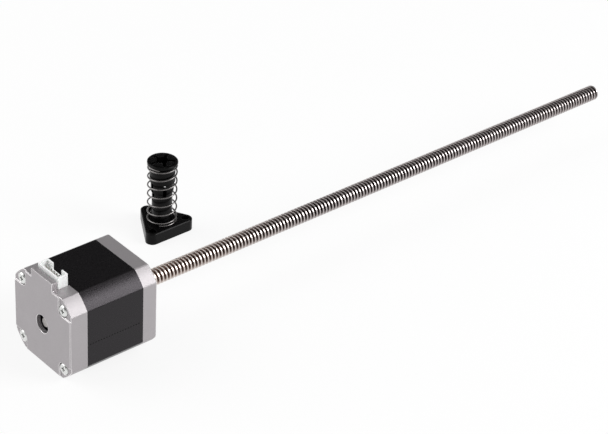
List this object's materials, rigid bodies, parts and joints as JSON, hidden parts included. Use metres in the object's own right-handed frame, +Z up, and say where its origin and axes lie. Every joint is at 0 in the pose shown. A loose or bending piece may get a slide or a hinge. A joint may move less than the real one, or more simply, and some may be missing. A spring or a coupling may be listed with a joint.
{
  "type": "lead screw motor",
  "caption": "Square stepping motor whose shaft is a long trapezoidal lead screw, with connector header and a spring-loaded triangular flange nut standing beside it.",
  "frame": {"origin": "centre of the motor's front mounting face, on the screw's axis", "axes": "+X along the screw towards its free end, +Z up out of the side that carries the connector; the motor lies on its -Z side and the nut stands on its flange"},
  "size_m": [0.3527, 0.0908, 0.0482],
  "materials": {
    "cast_aluminium": "die-cast and machined, satin",
    "black_lamination_steel": "black coated steel laminations, semi-gloss",
    "bobbin_nylon": "moulded, natural",
    "enamelled_copper": "enamelled wire",
    "board_laminate": "green laminate",
    "white_nylon": "moulded, slightly translucent white",
    "tinned_brass": "tin plated",
    "plated_screw_steel": "zinc plated",
    "bearing_steel": "ground",
    "cage_steel": "pressed",
    "spring_steel": "bright drawn wire and strip",
    "rotor_steel": "stamped laminations, bare",
    "magnet": "plated sintered magnet",
    "spacer_brass": "turned",
    "screw_steel": "rolled thread, bright flanks",
    "black_acetal": "moulded, satin black"
  },
  "bodies": {
    "motor": {"front_cover": "cast_aluminium", "stator_stack": "black_lamination_steel", "rear_cover": "cast_aluminium", "front_bobbin": "bobbin_nylon", "rear_bobbin": "bobbin_nylon", "windings": "enamelled_copper", "connector_board": "board_laminate", "connector_housing": "white_nylon", "connector_pins": "tinned_brass", "body_screws": "plated_screw_steel", "front_bearing_outer_ring": "bearing_steel", "rear_bearing_outer_ring": "bearing_steel", "wave_washer": "spring_steel"},
    "rotor": {"lead_screw": "screw_steel", "rotor_core_front": "rotor_steel", "rotor_core_rear": "rotor_steel", "rotor_magnet": "magnet", "front_spacer": "spacer_brass", "front_bearing_inner_ring": "bearing_steel", "rear_bearing_inner_ring": "bearing_steel"},
    "front_ball_set": {"front_bearing_balls": "bearing_steel", "front_bearing_cage": "cage_steel"},
    "rear_ball_set": {"rear_bearing_balls": "bearing_steel", "rear_bearing_cage": "cage_steel"},
    "nut": {"flanged_nut": "black_acetal", "preload_spring": "spring_steel"},
    "collar": {"preload_collar": "black_acetal"}
  },
  "joints": [
    {"name": "screw_spin", "type": "hinge", "parent": "motor", "child": "rotor", "pos_m": [0, 0, 0], "axis": [1, 0, 0], "continuous": true},
    {"name": "front_ball_orbit", "type": "hinge", "parent": "motor", "child": "front_ball_set", "pos_m": [0, 0, 0], "axis": [1, 0, 0], "continuous": true},
    {"name": "rear_ball_orbit", "type": "hinge", "parent": "motor", "child": "rear_ball_set", "pos_m": [0, 0, 0], "axis": [1, 0, 0], "continuous": true},
    {"name": "nut_lift", "type": "slide", "parent": "motor", "child": "nut", "axis": [0, 0, 1], "range_m": [0, 0.06]},
    {"name": "collar_slide", "type": "slide", "parent": "nut", "child": "collar", "axis": [0, 0, -1], "range_m": [0, 0.008], "stiffness_N_per_m": 190, "springref_m": -0.0056, "deforming": ["preload_spring"]}
  ],
  "couplings": [
    {"joint": "front_ball_orbit", "follows": "screw_spin", "ratio": 0.4},
    {"joint": "rear_ball_orbit", "follows": "screw_spin", "ratio": 0.3571}
  ]
}
